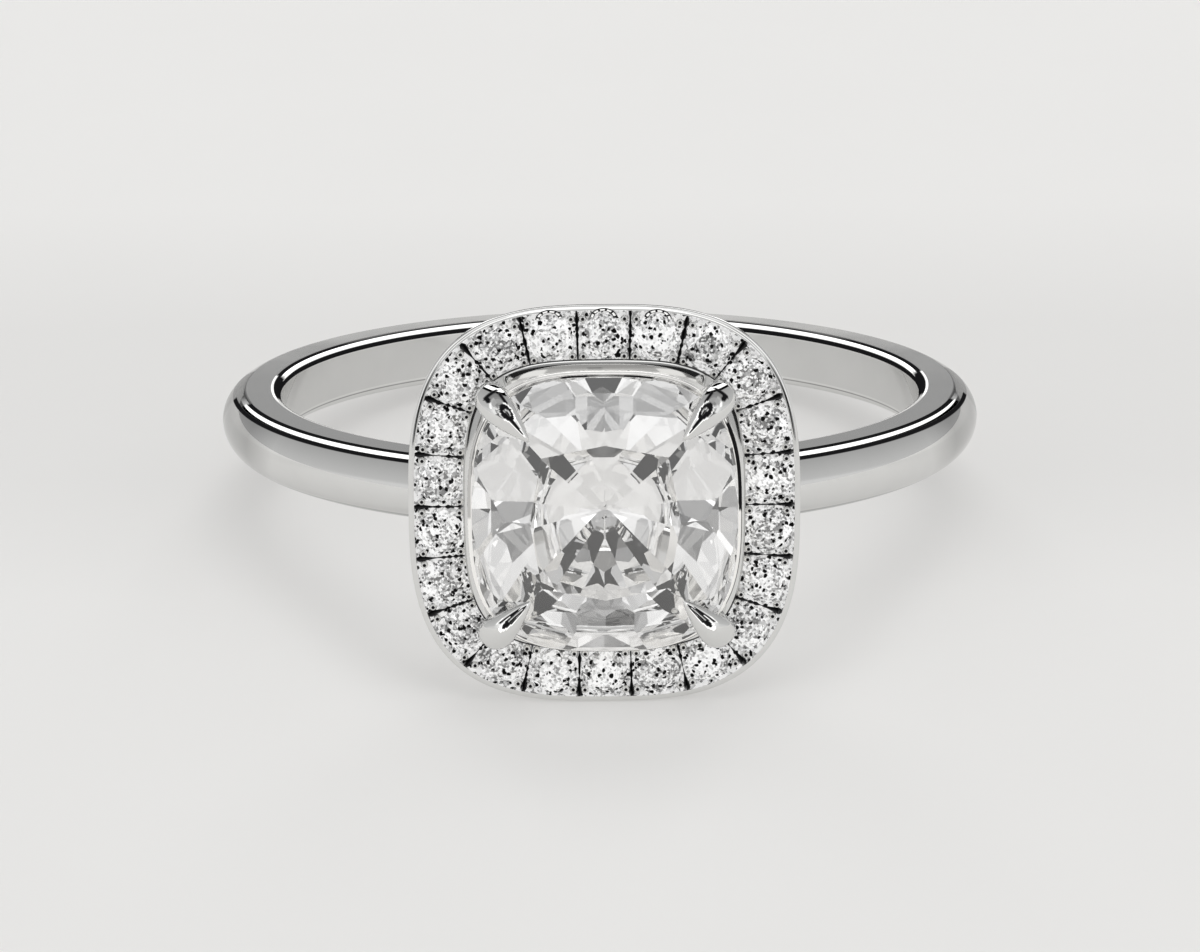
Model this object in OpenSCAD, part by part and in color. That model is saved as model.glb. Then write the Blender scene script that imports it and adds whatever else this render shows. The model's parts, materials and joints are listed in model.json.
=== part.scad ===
// Cushion halo engagement ring, lying on its side.
// The head is drawn in its own frame: +Z out of the stone's table, +X across the finger,
// +Y along the finger, with its origin on the finger's axis. The resting pose is applied last.

/* [Band] */
// Inside diameter of the band
finger_d = 16.5; // [16.3:0.1:17.5]
// Thickness of the band, from the finger outwards
band_t = 1.5; // [1.4:0.05:1.6]
// Width of the band along the finger
band_w = 1.6; // [1.4:0.05:1.7]
// Radius of the dome across the band's outside
dome_r = 0.9; // [0.9:0.05:1.5]
// Radius of the band's outer edges
outer_edge_r = 0.22; // [0.2:0.01:0.3]
// Radius of the band's inner edges
inner_edge_r = 0.2; // [0.15:0.01:0.22]

/* [Head] */
// Width of the halo across the finger
halo_w = 9.3; // [9.25:0.05:9.4]
// Length of the halo along the finger
halo_l = 9.7; // [9.65:0.05:9.8]
// Height of the halo's face over the inside of the band
head_rise = 1.85; // [1.8:0.05:2.2]
// Thickness of the halo
halo_t = 0.9; // [0.85:0.05:1]
// Squareness of the halo's outline, where 2 is an ellipse
halo_power = 2.95; // [2.9:0.05:3]
// Thickness of the collet's wall
collet_t = 0.3; // [0.26:0.01:0.32]
// Radius of a claw at its widest
claw_r = 0.33; // [0.3:0.01:0.34]

/* [Centre stone] */
// Width of the centre stone across the finger
stone_w = 6.25; // [6.15:0.05:6.3]
// Length of the centre stone along the finger
stone_l = 6.6; // [6.5:0.05:6.65]
// Height of the centre stone's girdle over the halo's face
stone_rise = 0.9; // [0.85:0.05:1.1]
// Depth of the pavilion below the girdle
pavilion_h = 2.5; // [2.3:0.05:2.5]
// Height of the crown above the girdle
crown_h = 0.8; // [0.7:0.05:0.85]

/* [Halo stones] */
// Diameter of a halo stone
small_d = 1.14; // [1.1:0.01:1.16]
// Distance from the halo's rim to the line of stone centres
rim_to_centre = 0.75; // [0.74:0.01:0.77]

/* [Hidden] */
// Stones round the halo, and the gap that every stone keeps to the metal
small_n = 22;
seat_gap = 0.03;

// Heights over the finger's axis
finger_r = finger_d / 2;
band_r = finger_r + band_t;
face_z = finger_r + head_rise;
back_z = face_z - halo_t;
girdle_z = face_z + stone_rise;
collet_bottom_z = finger_r + 0.15;
collet_top_z = girdle_z - 0.2;
small_girdle_z = face_z - 0.06;

// Half sizes of the outlines
halo_a = halo_w / 2;
halo_b = halo_l / 2;
stone_a = stone_w / 2;
stone_b = stone_l / 2;
stone_power = 2.9;
stone_table = 0.62;
stone_star = 0.45;
stone_half = 0.24;
stone_girdle_t = 0.06;
rim_bevel = 0.1;
taper = 0.3;
collet_a = stone_a + 0.12;
collet_b = stone_b + 0.12;
foot_ratio = 0.88;
outline_n = 72;

// Setting of the small stones
small_r = small_d / 2;
small_crown_h = 0.17;
small_pavilion_h = 0.47;
small_girdle_t = 0.03;
azure_r = 0.18;
bead_r = 0.13;
bead_out = 0.42;
cut_w = 0.07;
cut_l = 1;
cut_h = 0.22;
over = 0.5;

// Claws at the four corners, from the collet's foot to the tip on the crown
claw_corner = 0.787;
claw_foot_r = 0.2;
claw_tip_r = 0.06;

// Outline of a cushion: a superellipse that passes through [a, 0] and [0, b]
function cushion_reach(q, power) = pow(pow(abs(cos(q)), power) + pow(abs(sin(q)), power), -1 / power);
function cushion_point(a, b, q, power) = cushion_reach(q, power) * [a * cos(q), b * sin(q)];
function slope_part(v, half, power) = sign(v) * pow(abs(v) / half, power - 1) / half;
function unit(v) = v / norm(v);
function cushion_normal(a, b, q, power) =
    let (p = cushion_point(a, b, q, power))
    unit([slope_part(p.x, a, power), slope_part(p.y, b, power)]);

// Round arc of points, for profiles
function arc(centre, r, from, to, steps) =
    [for (i = [0:steps]) let (q = from + (to - from) * i / steps) centre + r * [cos(q), sin(q)]];

// Line of small stones: the halo's outline, moved inwards, and its length measured along it
line_steps = 720;
function stone_line(q) =
    cushion_point(halo_a, halo_b, q, halo_power)
    - rim_to_centre * cushion_normal(halo_a, halo_b, q, halo_power);
line_points = [for (i = [0:line_steps]) stone_line(90 - 360 * i / line_steps)];
function running_length(i, sum) =
    i > line_steps ? []
    : concat([[sum, 90 - 360 * i / line_steps]],
             running_length(i + 1, sum + (i < line_steps ? norm(line_points[i + 1] - line_points[i]) : 0)));
line_table = running_length(0, 0);
line_length = line_table[line_steps][0];
pitch = line_length / small_n;
function line_angle(k) = lookup(k * pitch, line_table);

// Turn of a stone or a cut so that its X points out of the halo
function outward(q) = let (n = cushion_normal(halo_a, halo_b, q, halo_power)) atan2(n.y, n.x);

// Brilliant cut: a table, 8 bezels, stars and girdle facets over 8 mains and their halves.
// Each bezel and main is a plane that touches the girdle, so its four corners are in one plane.
main_n = 8;
function meet(n1, c1, n2, c2) =
    let (d = n1.x * n2.y - n1.y * n2.x)
    [(c1 * n2.y - c2 * n1.y) / d, (n1.x * c2 - n2.x * c1) / d];
function facet_normal(a, b, power, i) = cushion_normal(a, b, i * 360 / main_n, power);
function facet_reach(a, b, power, i) =
    facet_normal(a, b, power, i) * cushion_point(a, b, i * 360 / main_n, power);
// Point between planes i and i + 1 where both have come in to the given share of their reach
function facet_corner(a, b, power, i, share) =
    meet(facet_normal(a, b, power, i), share * facet_reach(a, b, power, i),
         facet_normal(a, b, power, i + 1), share * facet_reach(a, b, power, i + 1));

module brilliant(a, b, power, girdle_t, table, crown, pavilion, star, half, steps) {
    g_n = main_n * steps;
    girdle = [for (k = [0:g_n - 1]) cushion_point(a, b, k * 360 / g_n, power)];
    star_share = 1 - (1 - table) * star;
    half_share = 1 - half;
    points = concat(
        [for (i = [0:main_n - 1]) [each table * girdle[i * steps], girdle_t / 2 + crown]],
        [for (i = [0:main_n - 1])
            [each facet_corner(a, b, power, i, star_share), girdle_t / 2 + crown * star]],
        [for (p = girdle) [each p, girdle_t / 2]],
        [for (p = girdle) [each p, -girdle_t / 2]],
        [for (i = [0:main_n - 1])
            [each facet_corner(a, b, power, i, half_share), -girdle_t / 2 - pavilion * half]],
        [[0, 0, -girdle_t / 2 - pavilion]]);
    star_at = main_n;
    top_at = 2 * main_n;
    low_at = top_at + g_n;
    half_at = low_at + g_n;
    culet_at = half_at + main_n;
    faces = concat(
        [[for (i = [0:main_n - 1]) main_n - 1 - i]],
        [for (i = [0:main_n - 1])
            let (before = (i + main_n - 1) % main_n)
            [i, star_at + i, top_at + i * steps, star_at + before]],
        [for (i = [0:main_n - 1]) [i, (i + 1) % main_n, star_at + i]],
        [for (i = [0:main_n - 1], j = [0:steps - 1])
            let (k = i * steps + j)
            [star_at + i, top_at + (k + 1) % g_n, top_at + k]],
        [for (k = [0:g_n - 1])
            let (next = (k + 1) % g_n)
            [top_at + k, top_at + next, low_at + next, low_at + k]],
        [for (i = [0:main_n - 1], j = [0:steps - 1])
            let (k = i * steps + j)
            [half_at + i, low_at + k, low_at + (k + 1) % g_n]],
        [for (i = [0:main_n - 1])
            let (before = (i + main_n - 1) % main_n)
            [culet_at, half_at + before, low_at + i * steps, half_at + i]]);
    polyhedron(points, faces);
}

// Closed wall swept round a cushion outline: each row of the profile is [height, half width, half length]
module cushion_sweep(profile, power) {
    rows = len(profile);
    points = [for (k = [0:outline_n - 1], row = profile)
        [each cushion_point(row[1], row[2], k * 360 / outline_n, power), row[0]]];
    faces = [for (k = [0:outline_n - 1], i = [0:rows - 1])
        let (next_k = (k + 1) % outline_n, next_i = (i + 1) % rows)
        [k * rows + i, k * rows + next_i, next_k * rows + next_i, next_k * rows + i]];
    polyhedron(points, faces);
}

// Solid between two cushion outlines, each [height, half width, half length]
module cushion_plug(low, high, power) {
    rim = [for (row = [low, high], k = [0:outline_n - 1])
        [each cushion_point(row[1], row[2], k * 360 / outline_n, power), row[0]]];
    sides = [for (k = [0:outline_n - 1])
        let (next = (k + 1) % outline_n)
        [k, outline_n + k, outline_n + next, next]];
    polyhedron(rim, concat(sides,
        [[for (k = [0:outline_n - 1]) k]],
        [[for (k = [outline_n - 1:-1:0]) outline_n + k]]));
}

// Section of the band: flat sides, rounded edges and a dome that runs into the outer edges
half_band = band_w / 2;
dome_end = asin((half_band - outer_edge_r) / (dome_r - outer_edge_r));
dome_centre = [band_r - dome_r, 0];
edge_centre = dome_centre + (dome_r - outer_edge_r) * [cos(dome_end), sin(dome_end)];
function flip(points) = [for (i = [len(points) - 1:-1:0]) [points[i].x, -points[i].y]];
upper_section = concat(
    arc(edge_centre, outer_edge_r, dome_end, 90, 6),
    arc([finger_r + inner_edge_r, half_band - inner_edge_r], inner_edge_r, 90, 180, 4));
dome_section = arc(dome_centre, dome_r, -dome_end, dome_end, 8);
band_section = concat(
    flip(upper_section),
    [for (i = [1:len(dome_section) - 2]) dome_section[i]],
    upper_section);

// Collet wall, from its foot beside the band's ends to its rim under the girdle
function collet_half(z, full) =
    full * (foot_ratio + (1 - foot_ratio) * (z - collet_bottom_z) / (collet_top_z - collet_bottom_z));
function collet_row(z, inset) = [z, collet_half(z, collet_a) - inset, collet_half(z, collet_b) - inset];

module shank() {
    difference() {
        rotate([90, 0, 0]) rotate_extrude($fn = 180) polygon(band_section);
        cushion_plug(collet_row(finger_r - 1, collet_t / 2), collet_row(face_z, collet_t / 2), halo_power);
    }
}

module head_wall() {
    cushion_sweep([
        [back_z, halo_a - taper, halo_b - taper],
        [face_z - rim_bevel, halo_a, halo_b],
        [face_z, halo_a - rim_bevel, halo_b - rim_bevel],
        collet_row(face_z, 0),
        collet_row(collet_top_z, 0),
        collet_row(collet_top_z, collet_t),
        collet_row(collet_bottom_z, collet_t),
        collet_row(collet_bottom_z, 0),
        collet_row(back_z, 0)
    ], halo_power);
}

// Seat of a small stone: a bore for the girdle, a cone for the pavilion and a hole out at the back
module seat() {
    wide = small_r + seat_gap;
    rotate_extrude($fn = 48) polygon([
        [0, -halo_t - over],
        [azure_r, -halo_t - over],
        [azure_r, -small_pavilion_h * (1 - azure_r / wide) - 2 * seat_gap],
        [wide, -2 * seat_gap],
        [wide, over],
        [0, over]
    ]);
}

module grain() {
    sphere(r = bead_r, $fn = 16);
}

// One stone's place on the halo, with X pointing outwards
module on_line(k) {
    q = line_angle(k);
    translate([each stone_line(q), 0]) rotate([0, 0, outward(q)]) children();
}

// Claw: a post up the collet's corner and a teardrop that lies over the stone's edge
module claw() {
    corner = claw_corner * [stone_a, stone_b];
    foot = [each corner * 0.8, collet_bottom_z + claw_foot_r];
    bulb = [each corner * 1.11, girdle_z - 0.06];
    brow = [each corner * 0.98, girdle_z + 0.47];
    tip = [each corner * 0.76, girdle_z + 0.62];
    rod = bulb - foot;
    translate(foot)
        rotate([0, acos(rod.z / norm(rod)), atan2(rod.y, rod.x)])
            cylinder(h = norm(rod), r1 = claw_foot_r, r2 = claw_r * 0.85, $fn = 32);
    hull() {
        translate(bulb) sphere(r = claw_r, $fn = 16);
        translate(brow) sphere(r = claw_r * 0.85, $fn = 16);
        translate(tip) sphere(r = claw_tip_r, $fn = 8);
    }
}

// Room that the claws leave for the centre stone
module stone_space() {
    translate([0, 0, girdle_z])
        brilliant(stone_a + seat_gap, stone_b + seat_gap, stone_power, stone_girdle_t + 2 * seat_gap,
                  stone_table, crown_h, pavilion_h, stone_star, stone_half, 2);
}

module claws() {
    difference() {
        for (side = [0, 1], end = [0, 1]) mirror([side, 0, 0]) mirror([0, end, 0]) claw();
        stone_space();
    }
}

// Halo and collet in one wall, with a seat for each small stone and, between two stones,
// a grain of metal on each side that a cut splits in two
module halo() {
    difference() {
        union() {
            head_wall();
            for (k = [0:small_n - 1], side = [-1, 1])
                translate([0, 0, face_z]) on_line(k + 0.5) translate([side * bead_out, 0, 0]) grain();
        }
        for (k = [0:small_n - 1]) {
            translate([0, 0, small_girdle_z]) on_line(k) seat();
            translate([0, 0, face_z]) on_line(k + 0.5) cube([cut_l, cut_w, cut_h * 2], center = true);
        }
    }
}

module ring_mount() {
    color("silver") rest_pose() {
        halo();
        shank();
        claws();
    }
}

module centre_stone() {
    color("white") rest_pose() translate([0, 0, girdle_z])
        brilliant(stone_a, stone_b, stone_power, stone_girdle_t, stone_table, crown_h, pavilion_h,
                  stone_star, stone_half, 4);
}

module halo_stone(k) {
    color("white") rest_pose() translate([0, 0, small_girdle_z]) on_line(k)
        brilliant(small_r, small_r, 2, small_girdle_t, 0.57, small_crown_h, small_pavilion_h, 0.5, 0.22, 2);
}

// Resting pose: the halo's lower edge and the far side of the band touch the floor
touch = [-(face_z - rim_bevel), -halo_b];
rest_tilt = min([for (p = band_section) atan2(p.y - touch.y, p.x - touch.x)]);
lift = -(touch.x * sin(-rest_tilt) + touch.y * cos(rest_tilt));
head_reach = (girdle_z + crown_h) * cos(rest_tilt) + stone_table * stone_b * sin(rest_tilt);
back_reach = band_r * cos(rest_tilt);
module rest_pose() {
    translate([0, (head_reach - back_reach) / 2, lift]) rotate([-rest_tilt, 0, 0]) rotate([90, 0, 0])
        children();
}

ring_mount();
centre_stone();
for (k = [0:small_n - 1])
    halo_stone(k);
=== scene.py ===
"""Cushion halo engagement ring lying on its side: metal, stones, floor, light and camera.

Lengths are in millimetres in the head's own frame until a piece is made: +X runs across the
finger, +Y along the finger and +Z out of the stone's table, with the origin on the finger's axis.
"""
import json
import random
from math import asin, atan2, copysign, cos, degrees, hypot, pi, radians, sin, tan

import bmesh
import bpy
from mathutils import Matrix, Vector


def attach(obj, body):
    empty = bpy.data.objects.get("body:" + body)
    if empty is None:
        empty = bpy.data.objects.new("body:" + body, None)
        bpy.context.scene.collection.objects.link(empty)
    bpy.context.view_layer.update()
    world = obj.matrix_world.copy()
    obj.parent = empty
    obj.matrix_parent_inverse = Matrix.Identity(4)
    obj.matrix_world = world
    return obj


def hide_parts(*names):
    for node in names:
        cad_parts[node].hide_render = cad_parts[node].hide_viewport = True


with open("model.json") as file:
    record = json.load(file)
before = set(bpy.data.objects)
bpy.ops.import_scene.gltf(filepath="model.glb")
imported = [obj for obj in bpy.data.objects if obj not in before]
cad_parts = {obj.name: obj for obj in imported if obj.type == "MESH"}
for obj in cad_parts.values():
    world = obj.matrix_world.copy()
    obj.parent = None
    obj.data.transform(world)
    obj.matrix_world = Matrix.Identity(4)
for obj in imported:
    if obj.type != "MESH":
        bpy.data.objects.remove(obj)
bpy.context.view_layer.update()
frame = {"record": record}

MM = 0.001

# Sizes that repeat the CAD's
FINGER_R = 8.25
BAND_T = 1.5
BAND_W = 1.6
HALO_A = 4.65
HALO_B = 4.85
HALO_POWER = 2.95
FACE_Z = 10.1
BACK_Z = 9.2
TAPER = 0.3
GIRDLE_Z = 11.0
COLLET_LOW = 8.4
COLLET_HIGH = 10.8
COLLET_A = 3.245
COLLET_B = 3.42
COLLET_T = 0.3
FOOT_RATIO = 0.88
STONE_A = 3.125
STONE_B = 3.3
STONE_POWER = 2.9
SMALL_N = 22
SMALL_R = 0.57
SMALL_GIRDLE_Z = 10.04
RIM_TO_CENTRE = 0.75

# The head's frame inside the row frame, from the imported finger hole
mount = frame["record"]["mounts"][0]
FINGER_AT = Vector(mount["pos_m"])
ALONG = Vector(mount["axis"]).normalized()
OUT = Vector((1, 0, 0)).cross(ALONG)
HEAD = Matrix.Translation(FINGER_AT) @ Matrix((
    (MM, MM * ALONG.x, MM * OUT.x, 0),
    (0, MM * ALONG.y, MM * OUT.y, 0),
    (0, MM * ALONG.z, MM * OUT.z, 0),
    (0, 0, 0, 1),
))


def reach(q, power):
    """How far a cushion outline is from its middle at angle q, in half sizes."""
    return (abs(cos(q)) ** power + abs(sin(q)) ** power) ** (-1 / power)


def cushion(a, b, q, power=HALO_POWER):
    """Point at angle q of a cushion outline."""
    r = reach(q, power)
    return Vector((a * r * cos(q), b * r * sin(q)))


def cushion_normal(a, b, q, power=HALO_POWER):
    """The way straight out of a cushion outline at angle q."""
    p = cushion(a, b, q, power)
    x = copysign((abs(p.x) / a) ** (power - 1) / a, p.x)
    y = copysign((abs(p.y) / b) ** (power - 1) / b, p.y)
    return Vector((x, y)).normalized()


def add_object(name, data):
    obj = bpy.data.objects.new(name, data)
    bpy.context.scene.collection.objects.link(obj)
    return obj


def place_piece(name, mesh, material):
    mesh.materials.append(material)
    obj = add_object(name, mesh)
    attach(obj, "root")
    return obj


def make(name, verts, faces, material, smooth_angle, painted_darkness, grain=None, painted_highlight=None):
    """A metal piece from points in the head's frame; smooth_angle keeps creases sharper than it.

    The last three arguments have a value for each point: how dark it is painted, as painted shade
    and painted dark reflections; how rough like the stones' setting, with its painted glints and
    glow;
    and how bright of itself its material is there, as a painted highlight.
    """
    mesh = bpy.data.meshes.new(name)
    mesh.from_pydata([HEAD @ Vector(v) for v in verts], [], faces)
    bm = bmesh.new()
    bm.from_mesh(mesh)
    bmesh.ops.recalc_face_normals(bm, faces=bm.faces)
    bm.to_mesh(mesh)
    bm.free()
    mesh.shade_smooth()
    mesh.set_sharp_from_angle(angle=radians(smooth_angle))
    for key, values in (("painted_darkness", painted_darkness), ("grain", grain), ("painted_highlight", painted_highlight)):
        shade = mesh.attributes.new(key, "FLOAT", "POINT")
        shade.data.foreach_set("value", values or [0.0] * len(verts))
    return place_piece(name, mesh, material)


def arc(cx, cy, r, start, end, steps):
    """Points on a round arc, with the angles in degrees."""
    angles = [radians(start + (end - start) * i / steps) for i in range(steps + 1)]
    return [(cx + r * cos(q), cy + r * sin(q)) for q in angles]


def grid(rings, ways, base=0, closed=False):
    """Faces between rings of points that follow each other, ways points in each."""
    faces = []
    for i in range(rings if closed else rings - 1):
        low, high = base + i * ways, base + (i + 1) % rings * ways
        for j in range(ways):
            k = (j + 1) % ways
            faces.append((low + j, low + k, high + k, high + j))
    return faces


def join(faces, low, high):
    """Add the faces between two rings, given as their points' numbers."""
    for j in range(len(low)):
        n = (j + 1) % len(low)
        faces.append((low[j], low[n], high[n], high[j]))


def fade(value, low, high):
    """0 below low, 1 above high."""
    return max(0.0, min(1.0, (value - low) / (high - low)))


def within(value, bounds):
    return bounds[0] <= value <= bounds[1]


# Materials

# Painted glints, patches, bends of the dots, and dots to a metre
GLINTS = 18000
PATCHES = 3600
BENDS = 9000
DOTS = 5600
PATCH_SHARE = 0.8
# How far a dot's outline bends in metres, and where its edge lies in its cell
DOT_BEND = 0.00010
DOT_EDGE = (0.27, 0.31)
DOT_COLOUR = (0.006, 0.006, 0.006, 1)
# Grey of the glints against their level, which runs from 0 to GLINT_TOP
GLINT_TOP = 2.0
STONE_GLINTS = ((0.2, 0.03), (0.45, 0.12), (0.65, 0.38), (0.85, 0.66), (1.15, 0.98), (2.0, 1.05))
METAL_GLINTS = ((0.1, 0.05), (0.35, 0.16), (0.6, 0.48), (0.95, 0.84), (2.0, 1.0))
# Painted glow: emission of the glints, and of points fully marked as painted highlights
GLOW = 0.3
PAINTED_HIGHLIGHT = 1.1
# Detail to a metre on the metal: tints, hairlines and soft waves
TINTS = 900
HAIRLINES = 2600
WAVES = 260
WAVE_STRENGTH = 0.02
WAVE_HEIGHT = 0.0002
METAL_ROUGHNESS = 0.035
GRAIN_ROUGHNESS = 0.35
# Colour of the painted shade and painted dark reflections on the metal
PAINTED_DARK_COLOUR = (0.012, 0.012, 0.013, 1)
# Painted darkness between which the metal stops mirroring
POLISH_ENDS = (0.6, 0.9)
STONE_IOR = 2.417
# Trace of cloud in the centre stone: its colour, and clouds to a metre
CLOUD = (0.985, 0.98, 0.965, 1)
CLOUDS = 400
# Sockets of a colour mix
MIX_FACTOR, MIX_A, MIX_B, MIX_RESULT = 0, 6, 7, 2


def feed(tree, made, inputs):
    """Link each input of a node to an output, or set it to a value."""
    for key, value in inputs.items():
        if hasattr(value, "node"):
            tree.links.new(value, made.inputs[key])
        else:
            made.inputs[key].default_value = value


def node(tree, kind, inputs=None, **settings):
    made = tree.nodes.new("ShaderNode" + kind)
    for key, value in settings.items():
        setattr(made, key, value)
    feed(tree, made, inputs or {})
    return made


def new_material(name):
    """A material, its node tree and one shader, and where a point lies on its piece."""
    material = bpy.data.materials.new(name)
    material.use_nodes = True
    tree = material.node_tree
    tree.nodes.clear()
    shader = node(tree, "BsdfPrincipled")
    node(tree, "OutputMaterial", {0: shader.outputs[0]})
    return material, tree, shader, node(tree, "TexCoord").outputs["Object"]


def calc(tree, operation, *values):
    return node(tree, "Math", dict(enumerate(values)), operation=operation).outputs[0]


def vector(tree, operation, *values):
    return node(tree, "VectorMath", dict(enumerate(values)), operation=operation).outputs


def noise(tree, place, scale, detail):
    return node(tree, "TexNoise", {"Vector": place, "Scale": scale, "Detail": detail}).outputs


def attribute(tree, name):
    return node(tree, "Attribute", attribute_name=name).outputs["Fac"]


def between(tree, value, low, high, start=0.0, end=1.0):
    """start where value is low, end where it is high."""
    return node(tree, "MapRange", {"Value": value, "From Min": low, "From Max": high,
                                   "To Min": start, "To Max": end}).outputs[0]


def blend(tree, factor, a, b, **settings):
    """Colour a where factor is 0 and b where it is 1."""
    return node(tree, "Mix", {MIX_FACTOR: factor, MIX_A: a, MIX_B: b},
                data_type="RGBA", **settings).outputs[MIX_RESULT]


def ramp_node(tree, value, low, high, stops, steps="LINEAR"):
    """Grey levels against a value that runs from low to high."""
    made = node(tree, "ValToRGB", {"Fac": between(tree, value, low, high)})
    made.color_ramp.interpolation = steps
    elements = made.color_ramp.elements
    elements.remove(elements[0])
    for i, (at, level) in enumerate(stops):
        e = elements[0] if i == 0 else elements.new((at - low) / (high - low))
        e.position = (at - low) / (high - low)
        e.color = (level, level, level, 1)
    return made.outputs[0]


def sparkle(tree, place, stops):
    """Painted glints and black dots of painted dark reflection, and a mask: 0 on the dots."""
    glint = node(tree, "TexVoronoi", {"Vector": place, "Scale": GLINTS})
    level = node(tree, "SeparateColor", {0: glint.outputs["Color"]}).outputs[0]
    patch = noise(tree, place, PATCHES, 2)["Fac"]
    level = calc(tree, "MULTIPLY_ADD", patch, PATCH_SHARE, level)
    level = calc(tree, "ADD", level, attribute(tree, "tone"))
    grey = ramp_node(tree, level, 0, GLINT_TOP, stops)
    bent = vector(tree, "MULTIPLY_ADD", noise(tree, place, BENDS, 1)["Color"],
                  (DOT_BEND, DOT_BEND, DOT_BEND), place)[0]
    dots = node(tree, "TexVoronoi", {"Vector": bent, "Scale": DOTS})
    mask = between(tree, dots.outputs["Distance"], *DOT_EDGE)
    return blend(tree, mask, DOT_COLOUR, grey), mask


def polished_metal(name, colour, dark, scratch, glow=0.0):
    """White gold: a clear polish with faint hairlines and soft waves, with painted shade, painted
    dark reflections and glowing painted highlights where its points are marked for them.

    Where the setting's grain is marked in full it has the painted glints and glow of the stones'
    setting instead.
    """
    material, tree, shader, place = new_material(name)
    grain, painted_darkness = attribute(tree, "grain"), attribute(tree, "painted_darkness")
    tint = blend(tree, noise(tree, place, TINTS, 3)["Fac"], colour, dark)
    # Painted glints of the setting, then painted shade and painted dark reflections
    tint = blend(tree, grain, tint, sparkle(tree, place, METAL_GLINTS)[0])
    tint = blend(tree, painted_darkness, tint, PAINTED_DARK_COLOUR)
    # Painted glow of the setting's glints and of the whole piece
    level = calc(tree, "MULTIPLY_ADD", grain, GLOW, glow)
    rough = between(tree, noise(tree, place, HAIRLINES, 4)["Fac"], 0, 1,
                    METAL_ROUGHNESS, METAL_ROUGHNESS + scratch)
    bump = node(tree, "Bump", {"Height": noise(tree, place, WAVES, 1)["Fac"],
                               "Strength": WAVE_STRENGTH, "Distance": WAVE_HEIGHT})
    feed(tree, shader, {
        "Base Color": tint,
        "Emission Color": tint,
        # Painted highlights glow on top of the painted glow
        "Emission Strength": calc(tree, "MULTIPLY_ADD", attribute(tree, "painted_highlight"), PAINTED_HIGHLIGHT, level),
        "Metallic": between(tree, painted_darkness, *POLISH_ENDS, 1.0, 0.0),
        "Roughness": calc(tree, "MULTIPLY_ADD", grain, GRAIN_ROUGHNESS, rough),
        "Specular IOR Level": 0.0,
        "Normal": bump.outputs[0],
    })
    return material


def clear_stone(name, glints):
    """Colourless stone with a trace of cloud, or with painted glints on its facets that glow.

    glints is the share of its light that comes from them.
    """
    material, tree, shader, place = new_material(name)
    if glints:
        # Painted glints that glow, with painted black dots that do not mirror
        colour, clear = sparkle(tree, place, STONE_GLINTS)
        feed(tree, shader, {"Emission Color": colour, "Emission Strength": GLOW,
                            "Metallic": calc(tree, "SUBTRACT", 1.0, clear)})
    else:
        colour = blend(tree, noise(tree, place, CLOUDS, 2)["Fac"], (1, 1, 1, 1), CLOUD)
    feed(tree, shader, {"Base Color": colour, "Transmission Weight": 1.0 - glints,
                        "Roughness": 0.0, "IOR": STONE_IOR})
    return material


gold = polished_metal("white_gold_polish", (0.80, 0.80, 0.79, 1), (0.74, 0.74, 0.73, 1), 0.02)
# The collet's copy of the gold is paler and glows: painted light
lit_gold = polished_metal("white_gold_collet_painted_glow", (0.86, 0.85, 0.83, 1), (0.80, 0.79, 0.77, 1), 0.05,
                          0.22)
centre_clear = clear_stone("centre_stone_clear", 0)
# The halo stones' light is mostly painted glints that glow
halo_painted_glints = clear_stone("halo_stone_painted_glints", 0.8)


# Band

# Radii of the domed outside and of the two rounded edges, and their steps
DOME_R = 0.85
OUTER_EDGE_R = 0.2
INNER_EDGE_R = 0.25
DOME_STEPS = 60
OUTER_EDGE_STEPS = 20
INNER_EDGE_STEPS = 40
BAND_STEPS = 360
# How far the CAD's flats lie inside its true curves
FACET_LOSS = 0.004
# Distance of the extra points that keep the flat sides flat, and half the inside's last width
SUPPORT = 0.02
INSIDE_HALF = 0.2
# Distance of the band's ends from the middle of the head, and how much it grows outwards
END_X = 2.72
END_SPREAD = 0.14

# Painted tones of the band: painted reflections of the studio as dark and bright lines, and
# painted shade. A point's away is how many degrees it leans from the flat side, and its turn how
# many degrees
# it lies round from the head. Lines of the rounded edges, by away:
OUTER_DARK = ((4, 26), (38, 43))
INNER_DARK = ((8, 32), (60, 86))
INNER_BRIGHT = (34, 58)
NEAR_DARK = (18, 84)
NEAR_BRIGHT = (2, 14)
LOW_INNER_DARK = (70, 80)
# The outer edge's lower line reaches a little further round than the upper, as a hook
HOOK = (36, 43)
LINES_TO = (75, 77)
HOOK_TO = (82.5, 84.5)
# Painted dark reflections of the domed outside above and below, each with the turns between which
# it comes in
OUTSIDE = (((57, 66), 0.40), ((74, 84), 0.26))
OUTSIDE_BELOW = (((57, 66), 0.40), ((74, 84), 0.22))
# They go out again behind the ring's two ends
BEHIND = (100, 112)
# Painted dark reflection of the outer edge round the ends, to 60 degrees away, and behind them to
# 15
EDGE_TONE = 0.56
EDGE_FROM = (80, 83)
EDGE_AWAY = 60
EDGE_AWAY_BEHIND = 15
# There the edge is painted with the flat side's reflection
END_TONE = 0.74
END_FROM = (74, 76)
END_TO = (98, 106)
# Painted shade under the dome and on the lower outer edge
UNDER_TONE = 0.10
UNDER_AWAY = 40
LOW_EDGE_TONE = 0.5
LOW_EDGE_AWAY = 38
# Turns at which the inner edge changes from its near lines to its far ones
NEAR_FROM = (74, 79)
FAR_TURN = 96
FAR_FROM = (96, 99)
# The far upper painted line and the far flat side's painted shade change towards the back
LINE_LOSS = 0.6
LINE_LOSS_FROM = (125, 145)
FLAT_TONE = 0.28
FLAT_FROM = (105, 135)
# Painted shade on the band's inside
INSIDE_TONE = 0.13


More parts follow.
